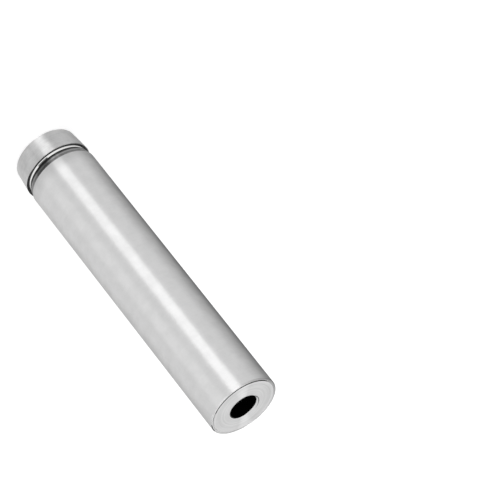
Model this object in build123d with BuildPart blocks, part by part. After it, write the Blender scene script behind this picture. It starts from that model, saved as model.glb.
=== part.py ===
from build123d import *
import os

# Glass panel standoff: a tapered cap clamps a panel against a tubular barrel that is screwed to a
# wall. The frame is +Z along the axis, from the cap's front face, on which the standoff stands, to
# the wall face, and the origin is the centre of the cap's front face. Lengths are in millimetres.

# Whole standoff
overall_length = 100.0
barrel_d = 20.0

# Cap: a turned head whose side narrows from the barrel's radius to its front face
cap_height = 7.0
cap_taper = 0.7
cap_rim_radius = 0.7

# M12 x 1.25 screw thread, drawn plain at its pitch diameter, that joins cap and barrel
thread_pitch_d = 11.2
thread_play = 0.05
stud_length = 24.0
stud_socket_depth = 4.5
stud_tip_chamfer = 0.8

# Gaskets: both clear the stud, and both lie in a seat with a little play round the outside
gasket_stud_gap = 0.7
gasket_play = 0.05

# Rubber gasket, glued flush into the cap's back inside a narrow lip
cap_lip = 0.2
cap_gasket_thickness = 0.5

# Clear gasket between cap and barrel, set in from the barrel's side: it stands proud of its seat
barrel_gasket_inset = 0.8
barrel_gasket_thickness = 1.1
barrel_gasket_stand = 0.8

# Front plug: a polished cone that closes the tube below the gasket, on a threaded press-in body
shoulder_lip = 0.1
shoulder_height = 2.4
front_plug_depth = 10.0

# Tube of the barrel: its inner edge is broken at the wall, which leaves an open seam round the plug
tube_wall = 0.8
tube_end_radius = 0.3
seam_break = 0.35

# Wall plug: knurled below a plain rim, pressed in flush, with the wall screw's hole and head recess
wall_plug_height = 8.0
wall_plug_rim = 1.5
wall_plug_web = 4.0
screw_hole_d = 8.0
screw_hole_lip = 0.1
screw_head_recess_d = 13.0
knurl_count = 48
knurl_depth = 0.25
knurl_width = 0.6

# Press fits
press_interference = 0.02
plug_lead_in = 0.5

# Radii and levels along the axis that several pieces share
barrel_r = barrel_d / 2
tube_bore_r = barrel_r - tube_wall
press_r = tube_bore_r + press_interference
thread_bore_r = thread_pitch_d / 2
gasket_bore_r = thread_bore_r + gasket_stud_gap
cap_seat_r = barrel_r - cap_lip
barrel_gasket_r = barrel_r - barrel_gasket_inset
barrel_seat_r = barrel_gasket_r + gasket_play
cap_seat_z = cap_height - cap_gasket_thickness
stud_start_z = cap_seat_z - stud_socket_depth
shoulder_z = cap_height + barrel_gasket_stand
barrel_seat_z = cap_height + barrel_gasket_thickness
tube_start_z = shoulder_z + shoulder_height
front_plug_end_z = tube_start_z + front_plug_depth
wall_plug_start_z = overall_length - wall_plug_height

# Cap: the outline is turned about the axis, then the back is bored for the gasket and the stud
with BuildPart() as cap:
    with BuildSketch(Plane.XZ):
        with BuildLine():
            Polyline(
                (0, 0),
                (barrel_r - cap_taper, 0),
                (barrel_r, cap_height),
                (0, cap_height),
                close=True,
            )
        rim = make_face().vertices().group_by(Axis.Y)[0].sort_by(Axis.X)[-1]
        fillet(rim, cap_rim_radius)
    revolve(axis=Axis.Z)
    with Locations(Plane.XY.offset(cap_height)):
        CounterBoreHole(
            radius=thread_bore_r,
            counter_bore_radius=cap_seat_r,
            counter_bore_depth=cap_gasket_thickness,
            depth=cap_height - stud_start_z,
        )
cap.part.label = "cap"

# Threaded stud: it stands on the floor of the cap's socket and reaches through the front plug
with BuildPart() as cap_stud:
    with BuildSketch(Plane.XY.offset(stud_start_z)):
        Circle(thread_bore_r - thread_play)
    extrude(amount=stud_length)
    chamfer(cap_stud.edges().group_by(Axis.Z)[-1], stud_tip_chamfer)
cap_stud.part.label = "cap_stud"

# Rubber gasket in the cap's back
with BuildPart() as cap_gasket:
    with BuildSketch(Plane.XY.offset(cap_seat_z)):
        Circle(cap_seat_r - gasket_play)
        Circle(gasket_bore_r, mode=Mode.SUBTRACT)
    extrude(amount=cap_gasket_thickness)
cap_gasket.part.label = "cap_gasket"

# Clear gasket in the front plug's seat
with BuildPart() as barrel_gasket:
    with BuildSketch(Plane.XY.offset(cap_height)):
        Circle(barrel_gasket_r)
        Circle(gasket_bore_r, mode=Mode.SUBTRACT)
    extrude(amount=barrel_gasket_thickness)
barrel_gasket.part.label = "barrel_gasket"

# Front plug: gasket seat, polished cone, flange face that meets the tube's end, press-in body
with BuildPart() as front_plug:
    with BuildSketch(Plane.XZ):
        with BuildLine():
            Polyline(
                (thread_bore_r, barrel_seat_z),
                (barrel_seat_r, barrel_seat_z),
                (barrel_seat_r, shoulder_z),
                (barrel_seat_r + shoulder_lip, shoulder_z),
                (barrel_r, tube_start_z),
                (press_r, tube_start_z),
                (press_r, front_plug_end_z - plug_lead_in),
                (press_r - plug_lead_in, front_plug_end_z),
                (thread_bore_r, front_plug_end_z),
                close=True,
            )
        make_face()
    revolve(axis=Axis.Z)
front_plug.part.label = "front_plug"

# Tube, rounded on its outer edge at the wall and broken on its inner edge beside the seam
with BuildPart() as barrel_tube:
    with BuildSketch(Plane.XY.offset(tube_start_z)):
        Circle(barrel_r)
        Circle(tube_bore_r, mode=Mode.SUBTRACT)
    extrude(amount=overall_length - tube_start_z)
    wall_edges = barrel_tube.edges().group_by(Axis.Z)[-1].sort_by(SortBy.RADIUS)
    fillet(wall_edges[-1], tube_end_radius)
    inner_edge = barrel_tube.edges().group_by(Axis.Z)[-1].sort_by(SortBy.RADIUS)[0]
    chamfer(inner_edge, seam_break)
barrel_tube.part.label = "barrel_tube"

# Wall plug: a straight knurl round a disc, a plain rim at the face, a lead-in at the inner end,
# then the screw's hole and head recess bored from inside and a lip on the hole at the face
with BuildPart() as wall_plug:
    with BuildSketch(Plane.XY.offset(wall_plug_start_z)):
        Circle(press_r)
        with PolarLocations(press_r, knurl_count):
            Polygon(
                (-knurl_depth, 0),
                (knurl_depth, -knurl_width),
                (knurl_depth, knurl_width),
                align=None,
                mode=Mode.SUBTRACT,
            )
    extrude(amount=wall_plug_height - wall_plug_rim)
    with BuildSketch(Plane.XY.offset(overall_length - wall_plug_rim)):
        Circle(press_r)
    extrude(amount=wall_plug_rim)
    with BuildSketch(Plane.XZ):
        Polygon(
            (press_r - plug_lead_in, wall_plug_start_z),
            (press_r + plug_lead_in, wall_plug_start_z),
            (press_r + plug_lead_in, wall_plug_start_z + 2 * plug_lead_in),
            align=None,
        )
    revolve(axis=Axis.Z, mode=Mode.SUBTRACT)
    with Locations(Plane(origin=(0, 0, wall_plug_start_z), z_dir=(0, 0, -1))):
        CounterBoreHole(
            radius=screw_hole_d / 2,
            counter_bore_radius=screw_head_recess_d / 2,
            counter_bore_depth=wall_plug_height - wall_plug_web,
        )
    face_circles = wall_plug.edges().group_by(Axis.Z)[-1].filter_by(GeomType.CIRCLE)
    chamfer(face_circles.sort_by(SortBy.RADIUS)[0], screw_hole_lip)
wall_plug.part.label = "wall_plug"

os.makedirs("parts", exist_ok=True)
export_step(cap.part, "parts/cap.step")
export_step(cap_stud.part, "parts/cap_stud.step")
export_step(cap_gasket.part, "parts/cap_gasket.step")
export_step(barrel_gasket.part, "parts/barrel_gasket.step")
export_step(front_plug.part, "parts/front_plug.step")
export_step(barrel_tube.part, "parts/barrel_tube.step")
export_step(wall_plug.part, "parts/wall_plug.step")
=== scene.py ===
"""Glass panel standoff for Blender 4.5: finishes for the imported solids, and the pieces that the
solids leave plain, which are the screw thread on stud and plug and the soft clear washer.

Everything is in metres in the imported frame: +Z runs along the axis from the cap's front face, on
which the standoff stands, to the wall face. The camera is on the -Y side.
"""

import logging
import math
from collections.abc import Mapping, Sequence
from dataclasses import dataclass, field
from enum import Enum

import bpy
from bpy.types import Material, Node, NodeSocket, NodeTree, Object, World
from mathutils import Matrix, Vector

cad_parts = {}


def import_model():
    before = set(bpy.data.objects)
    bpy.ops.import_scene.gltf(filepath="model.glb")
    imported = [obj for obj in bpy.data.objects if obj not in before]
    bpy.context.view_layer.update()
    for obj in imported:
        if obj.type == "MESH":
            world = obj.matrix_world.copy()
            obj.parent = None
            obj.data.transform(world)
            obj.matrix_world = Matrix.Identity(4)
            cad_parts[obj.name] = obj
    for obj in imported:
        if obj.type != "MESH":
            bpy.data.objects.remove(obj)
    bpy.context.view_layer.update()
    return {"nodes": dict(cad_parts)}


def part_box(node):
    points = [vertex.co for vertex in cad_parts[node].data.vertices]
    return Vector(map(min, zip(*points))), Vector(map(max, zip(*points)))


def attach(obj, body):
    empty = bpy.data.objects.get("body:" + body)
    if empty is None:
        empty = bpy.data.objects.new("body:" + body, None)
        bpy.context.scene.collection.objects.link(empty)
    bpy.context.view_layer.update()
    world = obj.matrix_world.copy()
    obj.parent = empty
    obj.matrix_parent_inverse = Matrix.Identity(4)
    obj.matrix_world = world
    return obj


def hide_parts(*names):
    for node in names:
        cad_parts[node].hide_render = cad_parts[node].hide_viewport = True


LOG = logging.getLogger("standoff")
MM = 0.001
FULL_TURN = 2 * math.pi
PHOTO_SIDE_PX = 480
SENSOR_MM = 36.0
# Points that are nearer to each other than this are one point
MERGE_DISTANCE = 1e-7
# How far a cutting tool reaches past the metal that it cuts
OVERRUN = 1 * MM
# Side of the small plane that is merged into an outline's first point
SEED_SIDE = 1 * MM
# Edges that turn by less than this are shaded smooth
SMOOTH_ANGLE = math.radians(30)
# A quarter turn, which draws the shine out across the grooves and not along them
ACROSS_GROOVES = 0.25
# Sockets of a mix of colours: the upper one's share, the two colours and, going out, the mix
SHARE, UNDER, OVER, MIXED = 0, 6, 7, 2


class CadNode(Enum):
    """The CAD nodes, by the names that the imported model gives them."""

    CAP = "cap"
    CAP_STUD = "cap_stud"
    CAP_GASKET = "cap_gasket"
    BARREL_GASKET = "barrel_gasket"
    FRONT_PLUG = "front_plug"
    BARREL_TUBE = "barrel_tube"
    WALL_PLUG = "wall_plug"


class Body(Enum):
    """The bodies that the pieces ride on."""

    CAP = "cap_body"
    GASKET = "gasket_body"
    BARREL = "barrel_body"


class Slot(Enum):
    """Names of material slots for the new pieces."""

    POLISHED_STEEL = "polished_steel"
    PLAIN_STEEL = "plain_steel"
    CLEAR_VINYL = "clear_vinyl"


def linear(hex_colour: str) -> tuple[float, float, float, float]:
    """Turns an sRGB hex colour into linear values, by the curve of the sRGB standard.

    Args:
        hex_colour: Six hex digits after a hash sign.

    Returns:
        Linear red, green and blue, and an alpha of 1.
    """
    parts = [int(hex_colour[i : i + 2], 16) / 255 for i in (1, 3, 5)]
    red, green, blue = (p / 12.92 if p <= 0.04045 else ((p + 0.055) / 1.055) ** 2.4 for p in parts)
    return red, green, blue, 1.0


def add_node(
    tree: NodeTree,
    kind: str,
    settings: Mapping[str, object] | None = None,
    inputs: Mapping[str | int, object] | Sequence[object] = (),
) -> Node:
    """Adds a shader node with its settings, and sets or links its inputs.

    Args:
        tree: The node tree that takes the node.
        kind: The node's Blender type.
        settings: Properties of the node by name.
        inputs: Input sockets by name or number, or else in turn from the first. Each is a value,
            another node's output, or another node, which gives its first output.

    Returns:
        The new node.
    """
    node = tree.nodes.new(kind)
    for name, value in (settings or {}).items():
        setattr(node, name, value)
    by_socket = inputs if isinstance(inputs, Mapping) else dict(enumerate(inputs))
    for name, value in by_socket.items():
        source = value.outputs[0] if isinstance(value, Node) else value
        if isinstance(source, NodeSocket):
            tree.links.new(source, node.inputs[name])
        else:
            node.inputs[name].default_value = source
    return node


def empty_tree(owner: Material | World) -> NodeTree:
    """Gives a material or a world a node tree with nothing in it.

    Args:
        owner: The material or world.

    Returns:
        Its empty node tree.
    """
    owner.use_nodes = True
    owner.node_tree.nodes.clear()
    return owner.node_tree


def split_place(tree: NodeTree) -> Node:
    """Adds the Object coordinates and returns the node that splits them into X, Y and Z."""
    place = add_node(tree, "ShaderNodeTexCoord").outputs["Object"]
    return add_node(tree, "ShaderNodeSeparateXYZ", inputs=[place])


def out_from_axis(tree: NodeTree, centre: tuple[float, float] = (0.0, 0.0)) -> Node:
    """Builds the way out to each point, square to a line along Z.

    Args:
        tree: The material's node tree.
        centre: Where the line stands in X and Y.

    Returns:
        The node that gives the way out as a vector in metres, which has no height.
    """
    place = add_node(tree, "ShaderNodeTexCoord").outputs["Object"]
    shift = (-centre[0], -centre[1], 0)
    return add_node(
        tree, "ShaderNodeVectorMath", {"operation": "MULTIPLY_ADD"}, [place, (1, 1, 0), shift]
    )


def distance_from_axis(tree: NodeTree, centre: tuple[float, float] = (0.0, 0.0)) -> NodeSocket:
    """Builds the distance of each point from a line along Z.

    Args:
        tree: The material's node tree.
        centre: Where the line stands in X and Y.

    Returns:
        The distance in metres.
    """
    length = add_node(
        tree, "ShaderNodeVectorMath", {"operation": "LENGTH"}, [out_from_axis(tree, centre)]
    )
    return length.outputs["Value"]


def towards(tree: NodeTree, azimuth: float) -> NodeSocket:
    """Builds the cosine of the angle, round the axis, between each point and an azimuth.

    Args:
        tree: The material's node tree.
        azimuth: The azimuth, which is 0 on the -Y side and 90 degrees on the +X side.

    Returns:
        The cosine, from 1 at the azimuth to -1 on the far side.
    """
    outwards = add_node(
        tree, "ShaderNodeVectorMath", {"operation": "NORMALIZE"}, [out_from_axis(tree)]
    )
    way = (math.sin(azimuth), -math.cos(azimuth), 0)
    cosine = add_node(tree, "ShaderNodeVectorMath", {"operation": "DOT_PRODUCT"}, [outwards, way])
    return cosine.outputs["Value"]


def seen_directly(tree: NodeTree) -> NodeSocket:
    """Builds a value that tells what is seen or mirrored from what only lights.

    Args:
        tree: The node tree of the material or the world.

    Returns:
        1 for camera, glossy and transmission rays, and else 0.
    """
    path = add_node(tree, "ShaderNodeLightPath").outputs
    seen = path["Is Camera Ray"]
    for kind in ("Is Glossy Ray", "Is Transmission Ray"):
        either = add_node(tree, "ShaderNodeMath", {"operation": "MAXIMUM"}, [seen, path[kind]])
        seen = either.outputs[0]
    return seen


@dataclass(frozen=True)
class Stretch:
    """A stretch in X on which a finish differs, with the levels on it and past its fade."""

    centre_x: float
    half: float
    fade: float
    levels: tuple[float, float] = (0.0, 1.0)

    def level(self, tree: NodeTree) -> Node:
        """Builds the level at each point.

        Args:
            tree: The material's node tree.

        Returns:
            The node that gives the first level on the stretch and the second past its fade.
        """
        across = split_place(tree).outputs["X"]
        aside = add_node(tree, "ShaderNodeMath", {"operation": "SUBTRACT"}, [across, self.centre_x])
        distance = add_node(tree, "ShaderNodeMath", {"operation": "ABSOLUTE"}, [aside])
        ends = (self.half, self.half + self.fade)
        return add_node(tree, "ShaderNodeMapRange", inputs=[distance, *ends, *self.levels])


@dataclass(frozen=True)
class LatheLines:
    """Fine lines that run round the axis, as a lathe or a belt leaves them on a turning part.

    A noise that is read along one slanting direction, square to the axis, starts and ends them.
    """

    spacing: float = 0.3 * MM
    length: float = 12 * MM
    slant: tuple[float, float, float] = (0.8, 0.6, 0.0)
    detail: float = 2.0
    raggedness: float = 0.6

    def amount(self, tree: NodeTree) -> Node:
        """Builds a noise drawn out round the axis, on side faces and end faces alike.

        Args:
            tree: The material's node tree.

        Returns:
            The node that gives the noise, from 0 to 1.
        """
        around = add_node(
            tree,
            "ShaderNodeVectorMath",
            {"operation": "DOT_PRODUCT"},
            [out_from_axis(tree), self.slant],
        )
        height = split_place(tree).outputs["Z"]
        line_place = add_node(
            tree,
            "ShaderNodeCombineXYZ",
            inputs=[distance_from_axis(tree), height, around.outputs["Value"]],
        )
        scale = (1 / self.spacing, 1 / self.spacing, 1 / self.length)
        scaled = add_node(
            tree, "ShaderNodeVectorMath", {"operation": "MULTIPLY"}, [line_place, scale]
        )
        return add_node(
            tree,
            "ShaderNodeTexNoise",
            inputs={
                "Vector": scaled,
                "Scale": 1.0,
                "Detail": self.detail,
                "Roughness": self.raggedness,
            },
        )


@dataclass(frozen=True)
class Patches:
    """Soft uneven patches, such as handling and polishing leave."""

    size: float = 6 * MM
    detail: float = 2.0

    def amount(self, tree: NodeTree) -> Node:
        """Builds the patches as a noise.

        Args:
            tree: The material's node tree.

        Returns:
            The node that gives the noise, from 0 to 1.
        """
        place = add_node(tree, "ShaderNodeTexCoord").outputs["Object"]
        return add_node(
            tree,
            "ShaderNodeTexNoise",
            inputs={"Vector": place, "Scale": 1 / self.size, "Detail": self.detail},
        )


@dataclass(frozen=True)
class Finish:
    """One real finish as a node material. Its shader is what tells one finish from another."""

    name: str

    def shader(self, tree: NodeTree) -> Node:
        """Builds the surface shader in the tree and returns its node."""
        raise NotImplementedError

    def material(self) -> Material:
        """Makes the material.

        Returns:
            A new material with this finish's shader.
        """
        material = bpy.data.materials.new(self.name)
        tree = empty_tree(material)
        add_node(tree, "ShaderNodeOutputMaterial", inputs={"Surface": self.shader(tree)})
        return material


@dataclass(frozen=True)
class LatheSteel(Finish):
    """Stainless steel that was turned and then finished on the lathe.

    The grooves run round the axis, so a lamp is drawn out into a long soft streak across them.
    """

    dark: str
    light: str
    line_share: float = 0.3
    contrast_run: tuple[float, float] = (0.35, 0.65)
    roughness: tuple[float, float] = (0.4, 0.46)
    roughness_run: tuple[float, float] = (0.3, 0.7)
    groove_depth: float = 0.0004 * MM
    lines: LatheLines = LatheLines()
    patches: Patches = Patches()
    anisotropy: float = 1.0

    def colour(self, tree: NodeTree, mix: Node) -> NodeSocket:
        """Builds the colour between the dark and the light steel.

        Args:
            tree: The material's node tree.
            mix: Where each point is between the dark and the light steel, from 0 to 1.

        Returns:
            The colour.
        """
        steel = add_node(
            tree,
            "ShaderNodeMix",
            {"data_type": "RGBA"},
            {SHARE: mix, UNDER: linear(self.dark), OVER: linear(self.light)},
        )
        return steel.outputs[MIXED]

    def relief(self, tree: NodeTree, lines: Node) -> Node:
        """Builds the relief of the grooves.

        Args:
            tree: The material's node tree.
            lines: The noise of the lines.

        Returns:
            The node that gives the surface normal.
        """
        return add_node(
            tree,
            "ShaderNodeBump",
            inputs={"Strength": 1.0, "Distance": self.groove_depth, "Height": lines},
        )

    def shader(self, tree: NodeTree) -> Node:
        """Builds the steel's shader, whose lines and patches are joined with more contrast.

        Args:
            tree: The material's node tree.

        Returns:
            The shader's node.
        """
        lines = self.lines.amount(tree)
        patches = self.patches.amount(tree)
        shares = {"Factor": self.line_share, "A": patches, "B": lines}
        both = add_node(tree, "ShaderNodeMix", inputs=shares)
        mix = add_node(tree, "ShaderNodeMapRange", inputs=[both, *self.contrast_run])
        roughness = add_node(
            tree, "ShaderNodeMapRange", inputs=[patches, *self.roughness_run, *self.roughness]
        )
        return add_node(
            tree,
            "ShaderNodeBsdfPrincipled",
            inputs={
                "Base Color": self.colour(tree, mix),
                "Metallic": 1.0,
                "Roughness": roughness,
                "Anisotropic": self.anisotropy,
                "Anisotropic Rotation": ACROSS_GROOVES,
                "Normal": self.relief(tree, lines),
                "Tangent": add_node(
                    tree, "ShaderNodeTangent", {"direction_type": "RADIAL", "axis": "Z"}
                ),
            },
        )


@dataclass(frozen=True)
class FacedSteel(LatheSteel):
    """Lathe-faced steel with a bore through it.

    The bore, its broken edge and the rim in the seam are painted dark as shade, and the painted
    shade of the hole reaches a little further on one side. A tool mark runs beside the hole, its
    groove painted dark as shade. A painted highlight fans out to both sides of the hole, with
    painted shade beside it.
    """

    # Painted shade in the bore, on its broken edge and on the rim in the seam
    hole_and_seam_shade: str = "#0c0c0c"
    bore_r: float = 4.01 * MM
    edge_r: float = 4.02 * MM
    edge_centre: tuple[float, float] = (0.3 * MM, 0.0)
    rim_r: float = 9.345 * MM
    rim_centre: tuple[float, float] = (0.065 * MM, 0.242 * MM)
    # The tool mark's groove is real, and its dark colour, fading out to one side, is painted shade
    # in it
    mark: str = "#444444"
    mark_r: float = 4.1 * MM
    mark_centre: tuple[float, float] = (-0.25 * MM, 0.9 * MM)
    mark_width: float = 0.2 * MM
    mark_depth: float = 0.03 * MM
    mark_fade: tuple[float, float] = (-1.8 * MM, -3.6 * MM)
    # Painted highlight along one azimuth, and painted shade that darkens the face by azimuth
    highlight_azimuth: float = math.radians(-20)
    highlight_run: tuple[float, float] = (math.cos(math.radians(16)), math.cos(math.radians(3)))
    highlight_gain: tuple[float, float] = (1.0, 1.18)
    dull_shade_azimuth: float = math.radians(15)
    dull_shade_run: tuple[float, float] = (0.0, 1.0)
    dull_shade_gain: tuple[float, float] = (1.07, 0.93)

    def painted_sheen(self, tree: NodeTree, mix: Node) -> Node:
        """Builds the face's colour: a painted highlight along the fan, painted shade beside it.

        Args:
            tree: The material's node tree.
            mix: Where each point is between the dark and the light steel, from 0 to 1.

        Returns:
            The node that gives the colour.
        """
        steel = super().colour(tree, mix)
        for azimuth, run, gain in (
            (self.highlight_azimuth, self.highlight_run, self.highlight_gain),
            (self.dull_shade_azimuth, self.dull_shade_run, self.dull_shade_gain),
        ):
            along = add_node(
                tree, "ShaderNodeMath", {"operation": "ABSOLUTE"}, [towards(tree, azimuth)]
            )
            level = add_node(tree, "ShaderNodeMapRange", inputs=[along, *run, *gain])
            steel = add_node(
                tree,
                "ShaderNodeVectorMath",
                {"operation": "SCALE"},
                {"Vector": steel, "Scale": level},
            )
        return steel

    def mark_amount(self, tree: NodeTree) -> Node:
        """Builds the strength of the tool mark at each point.

        Args:
            tree: The material's node tree.

        Returns:
            The node that gives 1 on the mark, which fades to 0 where the mark runs out.
        """
        distance = distance_from_axis(tree, self.mark_centre)
        ring = add_node(
            tree,
            "ShaderNodeMath",
            {"operation": "COMPARE"},
            [distance, self.mark_r, self.mark_width / 2],
        )
        across = split_place(tree).outputs["X"]
        fade = add_node(tree, "ShaderNodeMapRange", inputs=[across, *self.mark_fade])
        return add_node(tree, "ShaderNodeMath", {"operation": "MULTIPLY"}, [ring, fade])

    def colour(self, tree: NodeTree, mix: Node) -> NodeSocket:
        """Builds the steel's colour, with painted shade in the bore, on its edge and on the rim.

        Args:
            tree: The material's node tree.
            mix: Where each point is between the dark and the light steel, from 0 to 1.

        Returns:
            The colour.
        """
        bore, edge, rim = (
            add_node(
                tree,
                "ShaderNodeMath",
                {"operation": side},
                [distance_from_axis(tree, centre), radius],
            )
            for side, centre, radius in (
                ("LESS_THAN", (0.0, 0.0), self.bore_r),
                ("LESS_THAN", self.edge_centre, self.edge_r),
                ("GREATER_THAN", self.rim_centre, self.rim_r),
            )
        )
        hole = add_node(tree, "ShaderNodeMath", {"operation": "MAXIMUM"}, [bore, edge])
        # Where painted shade darkens the hole and the rim in the seam
        shaded_places = add_node(tree, "ShaderNodeMath", {"operation": "MAXIMUM"}, [hole, rim])
        steel = self.painted_sheen(tree, mix).outputs[0]
        for share, over in ((self.mark_amount(tree), self.mark), (shaded_places, self.hole_and_seam_shade)):
            covered = add_node(
                tree,
                "ShaderNodeMix",
                {"data_type": "RGBA"},
                {SHARE: share, UNDER: steel, OVER: linear(over)},
            )
            steel = covered.outputs[MIXED]
        return steel

    def relief(self, tree: NodeTree, lines: Node) -> Node:
        """Builds the relief of the face's rings and of the deeper tool mark beside the hole.

        Args:
            tree: The material's node tree.
            lines: The noise of the lines.

        Returns:
            The node that gives the surface normal.
        """
        groove = add_node(
            tree,
            "ShaderNodeBump",
            {"invert": True},
            {"Strength": 1.0, "Distance": self.mark_depth, "Height": self.mark_amount(tree)},
        )
        return add_node(
            tree,
            "ShaderNodeBump",
            inputs={
                "Strength": 1.0,
                "Distance": self.groove_depth,
                "Height": lines,
                "Normal": groove,
            },
        )


@dataclass(frozen=True)
class TubeSteel(LatheSteel):
    """Satin steel of the tube, with painted light and shade at its wall end.

    The rim is painted darker towards one side as shade, the edge in the seam is painted lighter on
    the other, and a short painted shadow line lies on the rim. The side is painted darker beside
    the cone as shade.
    """

    # Painted shade: the side is darker beside the cone and rises to its own colour past it
    start_run: tuple[float, float] = (10.2 * MM, 14.5 * MM)
    start_shade: tuple[float, float] = (0.8, 1.0)
    end_z: float = 99.64 * MM
    rim_r: float = 9.6 * MM
    # Painted light and shade on the rim, dark on one side and light on the other
    rim_shaded: str = "#b4b4b4"
    rim_lit: str = "#eaeaea"
    rim_shade_lean: tuple[float, float, float] = (1.0, -1.0, 0.0)
    rim_shading_run: tuple[float, float] = (-10 * MM, 12 * MM)
    # Painted light on the edge in the seam, on one side
    lit_edge: str = "#ffffff"
    lit_edge_run: tuple[float, float] = (6.0 * MM, 7.5 * MM)
    # Painted shadow: a short dark line on the rim
    shadow_line: str = "#2c2c2c"
    shadow_line_r: float = 9.8 * MM
    shadow_line_width: float = 0.2 * MM
    shadow_line_centre: tuple[float, float] = (9.7 * MM, -1.5 * MM)
    shadow_line_length: float = 3.4 * MM

    def shadow_line_amount(self, tree: NodeTree) -> Node:
        """Builds the place of the painted shadow line on the rim.

        Args:
            tree: The material's node tree.

        Returns:
            The node that gives 1 on the painted shadow line and else 0.
        """
        ring = add_node(
            tree,
            "ShaderNodeMath",
            {"operation": "COMPARE"},
            [distance_from_axis(tree), self.shadow_line_r, self.shadow_line_width / 2],
        )
        near = add_node(
            tree,
            "ShaderNodeMath",
            {"operation": "LESS_THAN"},
            [distance_from_axis(tree, self.shadow_line_centre), self.shadow_line_length / 2],
        )
        return add_node(tree, "ShaderNodeMath", {"operation": "MULTIPLY"}, [ring, near])

    def rim_painted_shading(self, tree: NodeTree) -> NodeSocket:
        """Builds the rim's painted light and shade, which goes from dark to bright across it.

        Args:
            tree: The material's node tree.

        Returns:
            The colour.
        """
        lean = add_node(
            tree,
            "ShaderNodeVectorMath",
            {"operation": "DOT_PRODUCT"},
            [out_from_axis(tree), self.rim_shade_lean],
        )
        run = add_node(tree, "ShaderNodeMapRange", inputs=[lean.outputs["Value"], *self.rim_shading_run])
        rim = add_node(
            tree,
            "ShaderNodeMix",
            {"data_type": "RGBA"},
            {SHARE: run, UNDER: linear(self.rim_shaded), OVER: linear(self.rim_lit)},
        )
        return rim.outputs[MIXED]

    def colour(self, tree: NodeTree, mix: Node) -> NodeSocket:
        """Builds the side's colour and, at the end, the painted rim, seam edge and shadow line.

        Args:
            tree: The material's node tree.
            mix: Where each point is between the dark and the light steel, from 0 to 1.

        Returns:
            The colour.
        """
        across, _, height = split_place(tree).outputs
        start = add_node(
            tree, "ShaderNodeMapRange", inputs=[height, *self.start_run, *self.start_shade]
        )
        side = add_node(
            tree,
            "ShaderNodeVectorMath",
            {"operation": "SCALE"},
            {"Vector": super().colour(tree, mix), "Scale": start},
        )
        lit_edge_share = add_node(tree, "ShaderNodeMapRange", inputs=[across, *self.lit_edge_run])
        outside = add_node(
            tree,
            "ShaderNodeMath",
            {"operation": "GREATER_THAN"},
            [distance_from_axis(tree), self.rim_r],
        )
        end = side.outputs[0]
        for share, over in (
            (lit_edge_share, linear(self.lit_edge)),
            (outside, self.rim_painted_shading(tree)),
            (self.shadow_line_amount(tree), linear(self.shadow_line)),
        ):
            covered = add_node(
                tree, "ShaderNodeMix", {"data_type": "RGBA"}, {SHARE: share, UNDER: end, OVER: over}
            )
            end = covered.outputs[MIXED]
        at_end = add_node(
            tree, "ShaderNodeMath", {"operation": "GREATER_THAN"}, [height, self.end_z]
        )
        both = add_node(
            tree, "ShaderNodeMix", {"data_type": "RGBA"}, {SHARE: at_end, UNDER: side, OVER: end}
        )
        return both.outputs[MIXED]


@dataclass(frozen=True)
class CapSteel(LatheSteel):
    """Satin steel of the cap, with a painted highlight on one stretch of its round.

    On one side the lip round the gasket is painted black, as shade in the gap.
    """

    # A painted highlight on one stretch of the cap's round
    streak_azimuth: float = math.radians(-5)
    streak_run: tuple[float, float] = (math.cos(math.radians(17)), math.cos(math.radians(4)))
    streak_gain: tuple[float, float] = (1.0, 1.18)
    lip_z: float = 6.99 * MM
    # Painted shade: the lip painted black on one side
    gap_shade: str = "#0d0d0d"
    gap_shade_run: tuple[float, float] = (5.0 * MM, 7.0 * MM)

    def colour(self, tree: NodeTree, mix: Node) -> NodeSocket:
        """Builds the colour: painted highlight on one stretch, painted black shade on the lip.

        Args:
            tree: The material's node tree.
            mix: Where each point is between the dark and the light steel, from 0 to 1.

        Returns:
            The colour.
        """
        gain = add_node(
            tree,
            "ShaderNodeMapRange",
            inputs=[towards(tree, self.streak_azimuth), *self.streak_run, *self.streak_gain],
        )
        with_streak = add_node(
            tree,
            "ShaderNodeVectorMath",
            {"operation": "SCALE"},
            {"Vector": super().colour(tree, mix), "Scale": gain},
        )
        across, _, height = split_place(tree).outputs
        on_lip = add_node(
            tree, "ShaderNodeMath", {"operation": "GREATER_THAN"}, [height, self.lip_z]
        )
        run = add_node(tree, "ShaderNodeMapRange", inputs=[across, *self.gap_shade_run])
        gap_shaded = add_node(tree, "ShaderNodeMath", {"operation": "MULTIPLY"}, [on_lip, run])
        both = add_node(
            tree,
            "ShaderNodeMix",
            {"data_type": "RGBA"},
            {SHARE: gap_shaded, UNDER: with_streak, OVER: linear(self.gap_shade)},
        )
        return both.outputs[MIXED]


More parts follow.
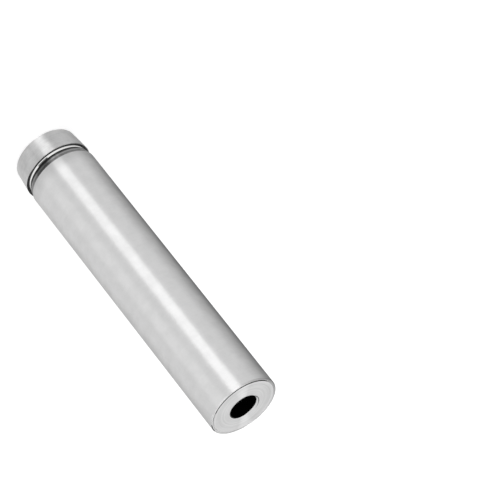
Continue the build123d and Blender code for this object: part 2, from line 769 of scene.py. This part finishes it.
@dataclass(frozen=True)
class ConeSteel(LatheSteel):
    """Polished cone steel, with a painted reflection of the dark joint in rings up its height.

    On one stretch, towards the camera, painted shade makes it darker than round the rest.
    """

    # Painted reflection of the dark joint: colour by height
    reflection_stops: tuple[tuple[float, str], ...] = (
        (8.0 * MM, "#2a2a2a"),
        (8.5 * MM, "#4c4c4c"),
        (9.0 * MM, "#a8a8a8"),
        (9.5 * MM, "#707070"),
        (10.2 * MM, "#8c8c8c"),
    )
    reflection_shade_stretch: Stretch = Stretch(
        centre_x=2.6 * MM, half=1.8 * MM, fade=2.0 * MM, levels=(0.5, 1.5)
    )

    def colour(self, tree: NodeTree, mix: Node) -> NodeSocket:
        """Builds the painted reflection's rings by height, and lets the patches break them up.

        Args:
            tree: The material's node tree.
            mix: Where each point is between the dark and the light steel, from 0 to 1.

        Returns:
            The colour.
        """
        height = split_place(tree).outputs["Z"]
        (low, low_shade), *between, (high, high_shade) = self.reflection_stops
        share = add_node(tree, "ShaderNodeMapRange", inputs=[height, low, high])
        ramp = add_node(tree, "ShaderNodeValToRGB", inputs=[share])
        stops = ramp.color_ramp.elements
        stops[0].color, stops[1].color = linear(low_shade), linear(high_shade)
        for level, shade in between:
            stops.new((level - low) / (high - low)).color = linear(shade)
        broken = add_node(
            tree,
            "ShaderNodeMix",
            {"data_type": "RGBA", "blend_type": "MULTIPLY"},
            {SHARE: 1.0, UNDER: ramp, OVER: super().colour(tree, mix)},
        )
        # Painted shade on one stretch towards the camera
        shaded = add_node(
            tree,
            "ShaderNodeVectorMath",
            {"operation": "SCALE"},
            {"Vector": broken.outputs[MIXED], "Scale": self.reflection_shade_stretch.level(tree)},
        )
        return shaded.outputs[0]


@dataclass(frozen=True)
class NitrileRubber(Finish):
    """Black rubber cut from a moulded sheet: matt, with a fine grain that breaks up its shine."""

    colour: str = "#0d0d0d"
    roughness: float = 0.6
    refraction: float = 1.52
    grain: Patches = Patches(size=0.15 * MM)
    grain_depth: float = 0.01 * MM

    def shader(self, tree: NodeTree) -> Node:
        """Builds the rubber's shader.

        Args:
            tree: The material's node tree.

        Returns:
            The shader's node.
        """
        grain = self.grain.amount(tree)
        bump = add_node(
            tree,
            "ShaderNodeBump",
            inputs={"Strength": 1.0, "Distance": self.grain_depth, "Height": grain},
        )
        return add_node(
            tree,
            "ShaderNodeBsdfPrincipled",
            inputs={
                "Base Color": linear(self.colour),
                "Roughness": self.roughness,
                "IOR": self.refraction,
                "Normal": bump,
            },
        )


@dataclass(frozen=True)
class ClearVinyl(Finish):
    """Soft clear vinyl, moulded: milky in its depth, with a wet-looking skin.

    Its edge has a painted glow, as if lit from inside, weaker on the side that the lamps hardly
    reach. On one stretch it is painted darker as shade, and only a line beside the cap keeps its
    painted glow.
    """

    colour: str = "#888887"
    # Painted shade: the darker colour on one stretch, where only a line by the cap keeps its glow
    vinyl_shade_colour: str = "#5c5c5c"
    painted_glow_colour: str = "#fbfbfa"
    clear_share: float = 0.1
    roughness: float = 0.12
    refraction: float = 1.53
    clouds: Patches = Patches(size=0.8 * MM)
    cloud_depth: float = 0.02 * MM
    vinyl_shade_stretch: Stretch = Stretch(centre_x=1.5 * MM, half=1.5 * MM, fade=0.4 * MM)
    glow_line_z: float = 7.34 * MM
    painted_glow_run: tuple[float, float] = (-7.0 * MM, -3.0 * MM)
    painted_glow_levels: tuple[float, float] = (0.56, 0.68)

    def shader(self, tree: NodeTree) -> Node:
        """Builds the vinyl's shader.

        Args:
            tree: The material's node tree.

        Returns:
            The shader's node.
        """
        across, _, height = split_place(tree).outputs
        line = add_node(tree, "ShaderNodeMath", {"operation": "LESS_THAN"}, [height, self.glow_line_z])
        # Off the painted shade, and on the line by the cap
        unshaded = add_node(
            tree, "ShaderNodeMath", {"operation": "MAXIMUM"}, [self.vinyl_shade_stretch.level(tree), line]
        )
        body = add_node(
            tree,
            "ShaderNodeMix",
            {"data_type": "RGBA"},
            {SHARE: unshaded, UNDER: linear(self.vinyl_shade_colour), OVER: linear(self.colour)},
        )
        # Painted glow, lower on the side that the lamps hardly reach
        glow_by_side = add_node(
            tree, "ShaderNodeMapRange", inputs=[across, *self.painted_glow_run, *self.painted_glow_levels]
        )
        glow = add_node(tree, "ShaderNodeMath", {"operation": "MULTIPLY"}, [unshaded, glow_by_side])
        clouds = self.clouds.amount(tree)
        bump = add_node(
            tree,
            "ShaderNodeBump",
            inputs={"Strength": 1.0, "Distance": self.cloud_depth, "Height": clouds},
        )
        return add_node(
            tree,
            "ShaderNodeBsdfPrincipled",
            inputs={
                "Base Color": body.outputs[MIXED],
                "Roughness": self.roughness,
                "IOR": self.refraction,
                "Transmission Weight": self.clear_share,
                "Emission Color": linear(self.painted_glow_colour),
                "Emission Strength": glow,
                "Normal": bump,
            },
        )


# Stainless steel, satin finished with a fine abrasive band while it turns: pale neutral grey with
# an even soft sheen. The real lines are some 0.02 mm apart, and are drawn coarser to show at all.
SATIN_STEEL = TubeSteel(
    "satin_stainless_steel",
    dark="#dadada",
    light="#e7e7e7",
    line_share=0.15,
    patches=Patches(size=3.5 * MM),
)
# The same steel on the cap's turned side: painted a little darker as shade, with a painted
# highlight on one stretch.
CAP_STEEL = CapSteel(
    "satin_stainless_steel_cap",
    dark="#cacaca",
    light="#e2e2e2",
    roughness=(0.48, 0.56),
    patches=Patches(size=2.5 * MM),
)
# Stainless steel faced on a lathe and left so: fine rings show, and the shine fans out across
# them, with a painted highlight along the fan and painted shade beside it.
TURNED_STEEL = FacedSteel(
    "face_turned_stainless_steel",
    dark="#cacaca",
    light="#dedede",
    line_share=0.7,
    groove_depth=0.004 * MM,
    lines=LatheLines(spacing=0.45 * MM, length=20 * MM),
    anisotropy=0.4,
)
# Stainless steel polished to a mirror: its colour is a painted reflection of the dark joint
# beside it.
MIRROR_STEEL = ConeSteel(
    "mirror_polished_stainless_steel",
    dark="#b4b4b4",
    light="#ececec",
    roughness=(0.3, 0.4),
    lines=LatheLines(spacing=0.35 * MM, length=1.5 * MM),
    patches=Patches(size=1.2 * MM),
)
# Carbon steel with a rolled thread, bright zinc on it: smooth flanks with a clean even shine.
ROLLED_STEEL = LatheSteel(
    "rolled_thread_zinc_plated_steel",
    dark="#aeb0b2",
    light="#c0c2c4",
    roughness=(0.22, 0.3),
    groove_depth=0.0002 * MM,
    anisotropy=0.2,
)
# Nitrile rubber sheet: a matt black that swallows the light and sets the ring beside it off.
RUBBER = NitrileRubber("black_nitrile_rubber")
# Soft plasticised vinyl: milky and wet-looking, it shines as a pale ring round the joint, by a
# painted glow.
VINYL = ClearVinyl("clear_soft_vinyl")


def select_alone(piece: Object) -> None:
    """Selects one piece, and nothing else, and makes it the active one.

    Args:
        piece: The piece to select.
    """
    bpy.ops.object.select_all(action="DESELECT")
    piece.select_set(True)
    bpy.context.view_layer.objects.active = piece


def begin_edit(piece: Object) -> None:
    """Opens one piece alone for editing, with all of its mesh selected.

    Args:
        piece: The piece to edit.
    """
    select_alone(piece)
    bpy.ops.object.mode_set(mode="EDIT")
    bpy.ops.mesh.select_all(action="SELECT")


def end_edit() -> None:
    """Goes back to object mode."""
    bpy.ops.object.mode_set(mode="OBJECT")


def close_and_face_out() -> None:
    """Merges doubled points of the mesh being edited and turns its faces outwards."""
    bpy.ops.mesh.select_all(action="SELECT")
    bpy.ops.mesh.remove_doubles(threshold=MERGE_DISTANCE)
    bpy.ops.mesh.normals_make_consistent(inside=False)


def apply_modifier(piece: Object, kind: str, **settings: object) -> None:
    """Adds one modifier to a piece with its settings and applies it.

    Args:
        piece: The piece to change.
        kind: The modifier's Blender type.
        **settings: The modifier's properties by name.
    """
    select_alone(piece)
    modifier = piece.modifiers.new(kind.lower(), kind)
    for name, value in settings.items():
        setattr(modifier, name, value)
    bpy.ops.object.modifier_apply(modifier=modifier.name)


def draw_outline(name: str, corners: Sequence[tuple[float, float]], close: bool) -> Object:
    """Draws a half section beside the axis, from one point that is extruded corner by corner.

    Args:
        name: The new object's name.
        corners: Radius and height of each corner in turn.
        close: Whether the outline goes on from the last corner back to the first.

    Returns:
        The outline as an object of edges in the XZ plane, at the origin.
    """
    first = Vector((corners[0][0], 0, corners[0][1]))
    bpy.ops.object.select_all(action="DESELECT")
    bpy.ops.mesh.primitive_plane_add(size=SEED_SIDE, location=first)
    outline = bpy.context.object
    outline.name = name
    bpy.ops.object.transform_apply(location=True, rotation=True, scale=True)
    begin_edit(outline)
    bpy.ops.mesh.merge(type="CENTER")
    path = (*corners, corners[0]) if close else corners
    for (r0, z0), (r1, z1) in zip(path, path[1:]):
        step = {"value": (r1 - r0, 0, z1 - z0)}
        bpy.ops.mesh.extrude_vertices_move(TRANSFORM_OT_translate=step)
    bpy.ops.mesh.select_all(action="SELECT")
    bpy.ops.mesh.remove_doubles(threshold=MERGE_DISTANCE)
    end_edit()
    return outline


def turn_outline(outline: Object, steps: int) -> None:
    """Spins a closed outline about the axis into a turned piece.

    Args:
        outline: The outline, which becomes the piece.
        steps: Faces round the axis.
    """
    begin_edit(outline)
    bpy.ops.mesh.spin(steps=steps, angle=FULL_TURN, center=(0, 0, 0), axis=(0, 0, 1))
    close_and_face_out()
    end_edit()


@dataclass(frozen=True)
class MetricThread:
    """The M12 x 1.25 thread of stud and plug: 60 degree flanks, a flat crest and a flat root.

    A share says how much of the pitch the crest, the root or one flank takes.
    """

    major_r: float = 6.0 * MM
    pitch: float = 1.25 * MM
    depth: float = 0.677 * MM
    play: float = 0.03 * MM
    root_share: float = 1 / 4
    flank_share: float = 5 / 16
    crest_share: float = 1 / 8
    turns_below: int = 2
    turns_above: int = 1
    steps: int = 72

    def cut(self, name: str, start_z: float, end_z: float, grow: float) -> Object:
        """Makes a solid thread between two levels.

        Args:
            name: The new object's name.
            start_z: The lower end's level.
            end_z: The upper end's level.
            grow: How far the thread's surface is moved outwards.

        Returns:
            The thread as a closed right-handed solid round the axis.
        """
        crest = self.major_r + grow
        root = crest - self.depth
        first = (math.floor(start_z / self.pitch) - self.turns_below) * self.pitch
        crest_start = self.root_share + self.flank_share
        crest_end = crest_start + self.crest_share
        rises = (0, self.root_share, crest_start, crest_end, crest_end + self.flank_share)
        radii = (root, root, crest, crest, root)
        corners = [(r, first + rise * self.pitch) for r, rise in zip(radii, rises)]
        thread = draw_outline(name, corners, close=False)
        apply_modifier(
            thread,
            "SCREW",
            axis="Z",
            angle=FULL_TURN,
            screw_offset=self.pitch,
            iterations=math.ceil((end_z - first) / self.pitch) + self.turns_above,
            steps=self.steps,
            render_steps=self.steps,
            use_merge_vertices=True,
            merge_threshold=MERGE_DISTANCE,
        )
        begin_edit(thread)
        bpy.ops.mesh.remove_doubles(threshold=MERGE_DISTANCE)
        for level, side in ((start_z, "clear_inner"), (end_z, "clear_outer")):
            bpy.ops.mesh.select_all(action="SELECT")
            bpy.ops.mesh.bisect(
                plane_co=(0, 0, level),
                plane_no=(0, 0, 1),
                use_fill=True,
                threshold=MERGE_DISTANCE,
                **{side: True},
            )
        close_and_face_out()
        end_edit()
        return thread


def dress(piece: Object, finish: Material, body: Body, slot: Slot, *nodes: CadNode) -> None:
    """Gives a new piece its finish and its body, and hides the CAD nodes that it replaces.

    Args:
        piece: The finished piece.
        finish: Its material.
        body: The body it rides on.
        slot: Not used.
        *nodes: The CAD nodes that it replaces.
    """
    piece.data.materials.clear()
    piece.data.materials.append(finish)
    select_alone(piece)
    bpy.ops.object.shade_smooth_by_angle(angle=SMOOTH_ANGLE)
    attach(piece, body.value)
    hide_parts(*(node.value for node in nodes))


def dress_node(node: Object, finish: Material) -> None:
    """Gives a CAD node its finish in its own material slots, and leaves its mesh alone.

    Args:
        node: The CAD node's object.
        finish: Its material.
    """
    if not node.material_slots:
        node.data.materials.append(finish)
    for slot in node.material_slots:
        slot.material = finish


@dataclass
class Cap:
    """The screw-on cap: turned head and rubber gasket from the solids, and a threaded stud."""

    nodes: Mapping[str, Object]
    thread: MetricThread = MetricThread()
    tip_chamfer: float = 0.9 * MM
    steps: int = 96

    def threaded_stud(self) -> Object:
        """Cuts the stud's thread and chamfers its tip.

        Returns:
            The threaded stud.
        """
        low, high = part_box(CadNode.CAP_STUD.value)
        stud = self.thread.cut("threaded_stud", low.z, high.z, -self.thread.play)
        outside = self.thread.major_r + OVERRUN
        tip_r = self.thread.major_r - self.tip_chamfer
        slope = outside - tip_r
        corners = (
            (tip_r, high.z),
            (outside, high.z - slope),
            (outside, high.z + OVERRUN),
            (tip_r, high.z + OVERRUN),
        )
        chamfer = draw_outline("chamfer_tool", corners, close=True)
        turn_outline(chamfer, self.steps)
        apply_modifier(stud, "BOOLEAN", operation="DIFFERENCE", object=chamfer, solver="EXACT")
        bpy.data.objects.remove(chamfer)
        return stud

    def build(self) -> list[Object]:
        """Builds and dresses the cap's pieces.

        Returns:
            The pieces that are shown.
        """
        dress_node(self.nodes[CadNode.CAP.value], CAP_STEEL.material())
        dress_node(self.nodes[CadNode.CAP_GASKET.value], RUBBER.material())
        stud = self.threaded_stud()
        dress(stud, ROLLED_STEEL.material(), Body.CAP, Slot.PLAIN_STEEL, CadNode.CAP_STUD)
        return [self.nodes[CadNode.CAP.value], self.nodes[CadNode.CAP_GASKET.value], stud]


@dataclass
class Washer:
    """The soft clear washer between cap and barrel."""

    bore_r: float = 6.3 * MM
    edge_radius: float = 0.15 * MM
    edge_segments: int = 3
    steps: int = 144

    def build(self) -> list[Object]:
        """Builds and dresses the washer.

        Returns:
            The washer alone.
        """
        low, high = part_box(CadNode.BARREL_GASKET.value)
        corners = (
            (self.bore_r, low.z),
            (high.x, low.z),
            (high.x, high.z),
            (self.bore_r, high.z),
        )
        washer = draw_outline("clear_washer", corners, close=True)
        turn_outline(washer, self.steps)
        apply_modifier(
            washer,
            "BEVEL",
            width=self.edge_radius,
            segments=self.edge_segments,
            limit_method="ANGLE",
        )
        dress(washer, VINYL.material(), Body.GASKET, Slot.CLEAR_VINYL, CadNode.BARREL_GASKET)
        return [washer]


@dataclass
class Barrel:
    """The tubular barrel: tube and wall plug from the solids, and a threaded front plug."""

    nodes: Mapping[str, Object]
    thread: MetricThread = MetricThread()
    seat_r: float = 9.25 * MM
    seat_depth: float = 0.3 * MM
    lip: float = 0.1 * MM
    press_r: float = 9.22 * MM
    shoulder_height: float = 2.4 * MM
    lead_in: float = 0.5 * MM
    edge_radius: float = 0.04 * MM
    edge_segments: int = 2
    steps: int = 144

    def front_plug(self) -> Object:
        """Turns the front plug and cuts its thread.

        Returns:
            The threaded front plug.
        """
        low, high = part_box(CadNode.FRONT_PLUG.value)
        bore_r = self.thread.major_r - self.thread.depth + self.thread.play
        seat_z = low.z + self.seat_depth
        tube_z = low.z + self.shoulder_height
        corners = (
            (bore_r, seat_z),
            (self.seat_r, seat_z),
            (self.seat_r, low.z),
            (self.seat_r + self.lip, low.z),
            (high.x, tube_z),
            (self.press_r, tube_z),
            (self.press_r, high.z - self.lead_in),
            (self.press_r - self.lead_in, high.z),
            (bore_r, high.z),
        )
        plug = draw_outline("threaded_front_plug", corners, close=True)
        turn_outline(plug, self.steps)
        apply_modifier(
            plug,
            "BEVEL",
            width=self.edge_radius,
            segments=self.edge_segments,
            limit_method="ANGLE",
        )
        tap = self.thread.cut("tap_tool", seat_z - OVERRUN, high.z + OVERRUN, self.thread.play)
        apply_modifier(plug, "BOOLEAN", operation="DIFFERENCE", object=tap, solver="EXACT")
        bpy.data.objects.remove(tap)
        return plug

    def build(self) -> list[Object]:
        """Builds and dresses the barrel's pieces.

        Returns:
            The pieces that are shown.
        """
        tube, wall_plug = self.nodes[CadNode.BARREL_TUBE.value], self.nodes[CadNode.WALL_PLUG.value]
        dress_node(tube, SATIN_STEEL.material())
        dress_node(wall_plug, TURNED_STEEL.material())
        plug = self.front_plug()
        dress(plug, MIRROR_STEEL.material(), Body.BARREL, Slot.POLISHED_STEEL, CadNode.FRONT_PLUG)
        return [plug, tube, wall_plug]


@dataclass
class SoftBox:
    """A soft rectangular lamp that faces a point of the object."""

    name: str
    azimuth: float
    elevation: float
    distance: float
    width: float
    height: float
    level: float
    target: Vector = field(default_factory=lambda: Vector((0, 0, 50 * MM)))

    def build(self) -> Object:
        """Hangs the lamp. Azimuth 0 is on the -Y side and 90 degrees on the +X side.

        Returns:
            The lamp's object.
        """
        lamp = bpy.data.lights.new(self.name, "AREA")
        lamp.shape = "RECTANGLE"
        lamp.size, lamp.size_y = self.width, self.height
        lamp.energy = self.level * math.pi * self.width * self.height
        aside = math.cos(self.elevation) * self.distance
        above = math.sin(self.elevation) * self.distance
        offset = Vector((math.sin(self.azimuth) * aside, -math.cos(self.azimuth) * aside, above))
        light = bpy.data.objects.new(self.name, lamp)
        light.rotation_mode = "QUATERNION"
        light.rotation_quaternion = offset.to_track_quat("Z", "Y")
        light.location = self.target + offset
        bpy.context.scene.collection.objects.link(light)
        return light


@dataclass
class MirroredCard:
    """A card that stands beside the barrel and only shows mirrored in the metal.

    It is white at its front edge and fades to its own grey.
    """

    name: str
    grey: str
    x: float
    front_y: float
    front_colour: str = "#ffffff"
    fade: float = 24 * MM
    length: float = 90 * MM
    height: float = 110 * MM

    def material(self) -> Material:
        """Makes the card's glowing face, from white at its front edge to its own grey.

        Returns:
            The card's material.
        """
        material = bpy.data.materials.new(self.name)
        tree = empty_tree(material)
        along = split_place(tree).outputs["Y"]
        faded_y = self.front_y + self.fade
        fade = add_node(tree, "ShaderNodeMapRange", inputs=[along, self.front_y, faded_y])
        colour = add_node(
            tree,
            "ShaderNodeMix",
            {"data_type": "RGBA"},
            {SHARE: fade, UNDER: linear(self.front_colour), OVER: linear(self.grey)},
        )
        card_face = add_node(tree, "ShaderNodeEmission", inputs={"Color": colour.outputs[MIXED]})
        add_node(tree, "ShaderNodeOutputMaterial", inputs={"Surface": card_face})
        return material

    def build(self) -> Object:
        """Stands the card on the floor, hidden from all but mirrored rays.

        Returns:
            The card's object.
        """
        bpy.ops.object.select_all(action="DESELECT")
        bpy.ops.mesh.primitive_plane_add(size=1, rotation=(0, math.pi / 2, 0))
        card = bpy.context.object
        card.name = self.name
        card.scale = (self.height, self.length, 1)
        card.location = (self.x, self.front_y + self.length / 2, self.height / 2)
        bpy.ops.object.transform_apply(location=True, rotation=True, scale=True)
        card.data.materials.append(self.material())
        card.visible_camera = card.visible_diffuse = card.visible_shadow = False
        card.visible_transmission = card.visible_volume_scatter = False
        return card


@dataclass
class Studio:
    """Pale floor, white surroundings, soft lamps and the cards that the metal mirrors."""

    floor_side: float = 8.0
    floor_drop: float = 0.05 * MM
    floor_colour: str = "#bcbcbc"
    glow_run: tuple[float, float] = (0.0, 220 * MM)
    floor_glow: tuple[float, float] = (0.6392, 0.7344)
    sky_light: float = 0.85
    sky_seen: float = 1.0
    cards: tuple[MirroredCard, ...] = (
        MirroredCard("dark_flag", grey="#7c7c7c", x=-22 * MM, front_y=-11 * MM),
        MirroredCard("pale_flag", grey="#c4c4c4", x=26 * MM, front_y=-2 * MM),
    )
    lamps: tuple[SoftBox, ...] = (
        SoftBox(
            "streak_lamp",
            azimuth=math.radians(-16),
            elevation=math.radians(22),
            distance=1.0,
            width=0.52,
            height=0.75,
            level=2.0,
        ),
        SoftBox(
            "side_lamp",
            azimuth=math.radians(45),
            elevation=math.radians(30),
            distance=1.1,
            width=0.6,
            height=0.7,
            level=0.6,
        ),
        SoftBox(
            "top_lamp",
            azimuth=math.radians(160),
            elevation=math.radians(62),
            distance=1.3,
            width=0.9,
            height=0.9,
            level=0.9,
        ),
    )

    def floor_material(self) -> Material:
        """Makes the floor's paper: it takes the object's shadow and looks white to the camera.

        Returns:
            The floor's material.
        """
        material = bpy.data.materials.new("matt_white_paper")
        tree = empty_tree(material)
        # The glow is lower near the standoff: painted shade on the floor, which the metal mirrors
        rise = add_node(
            tree,
            "ShaderNodeMapRange",
            inputs=[distance_from_axis(tree), *self.glow_run, *self.floor_glow],
        )
        glow_level = add_node(
            tree, "ShaderNodeMath", {"operation": "MULTIPLY"}, [seen_directly(tree), rise]
        )
        glow = add_node(tree, "ShaderNodeEmission", inputs={"Strength": glow_level})
        paper = add_node(tree, "ShaderNodeBsdfDiffuse", inputs={"Color": linear(self.floor_colour)})
        both = add_node(tree, "ShaderNodeAddShader", inputs=[glow, paper])
        add_node(tree, "ShaderNodeOutputMaterial", inputs={"Surface": both})
        return material

    def floor(self) -> Object:
        """Lays the floor under the cap, a hair below it, so that the two faces don't coincide.

        Returns:
            The floor's object.
        """
        bpy.ops.object.select_all(action="DESELECT")
        bpy.ops.mesh.primitive_plane_add(size=self.floor_side, location=(0, 0, -self.floor_drop))
        floor = bpy.context.object
        floor.name = "studio_floor"
        floor.data.materials.append(self.floor_material())
        return floor

    def surroundings(self) -> None:
        """Makes the world white where it is seen and softer where it lights."""
        world = bpy.data.worlds.new("studio_world")
        bpy.context.scene.world = world
        tree = empty_tree(world)
        levels = {"To Min": self.sky_light, "To Max": self.sky_seen}
        level = add_node(
            tree, "ShaderNodeMapRange", inputs={"Value": seen_directly(tree), **levels}
        )
        sky = add_node(tree, "ShaderNodeBackground", inputs={"Strength": level})
        add_node(tree, "ShaderNodeOutputWorld", inputs={"Surface": sky})

    def build(self) -> None:
        """Builds the floor, the surroundings, the cards and the lamps."""
        self.floor()
        self.surroundings()
        for item in (*self.cards, *self.lamps):
            item.build()


@dataclass
class PhotoCamera:
    """The photograph's camera, from a fit of the real sizes to the picture.

    The wall face's centre is given from the camera: to its right, below it and ahead of it.
    """

    axis_to_view: float = math.radians(59.53)
    roll: float = math.radians(50.75)
    right: float = 0.949 * MM
    below: float = 43.068 * MM
    ahead: float = 773.99 * MM
    focal_px: float = 2995.1
    clip: tuple[float, float] = (0.01, 20.0)
    wall_face: Vector = field(default_factory=lambda: Vector((0, 0, 100 * MM)))

    def build(self) -> Object:
        """Places the camera.

        Returns:
            The camera, which is also the scene's.
        """
        sin_t, cos_t = math.sin(self.axis_to_view), math.cos(self.axis_to_view)
        sin_r, cos_r = math.sin(self.roll), math.cos(self.roll)
        right = Vector((-sin_r, cos_t * cos_r, sin_t * cos_r))
        down = Vector((cos_r, cos_t * sin_r, sin_t * sin_r))
        forward = Vector((0, sin_t, -cos_t))
        place = self.wall_face - self.right * right - self.below * down - self.ahead * forward
        data = bpy.data.cameras.new("photo_camera")
        data.sensor_width = SENSOR_MM
        data.lens = self.focal_px / PHOTO_SIDE_PX * SENSOR_MM
        data.clip_start, data.clip_end = self.clip
        turn = Matrix((right, -down, -forward)).transposed()
        camera = bpy.data.objects.new("photo_camera", data)
        camera.matrix_world = Matrix.Translation(place) @ turn.to_4x4()
        bpy.context.scene.collection.objects.link(camera)
        bpy.context.scene.camera = camera
        return camera


def main() -> None:
    """Builds the dressed standoff, its studio and its camera."""
    logging.basicConfig(level=logging.INFO, format="%(name)s: %(message)s")
    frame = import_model()
    nodes = frame["nodes"]
    for part in (Cap(nodes), Washer(), Barrel(nodes)):
        for piece in part.build():
            LOG.info("%s: %s, %d faces", type(part).__name__, piece.name, len(piece.data.polygons))
    Studio().build()
    PhotoCamera().build()
    bpy.context.scene.view_settings.view_transform = "Standard"
    bpy.context.view_layer.update()


if __name__ == "__main__":
    main()
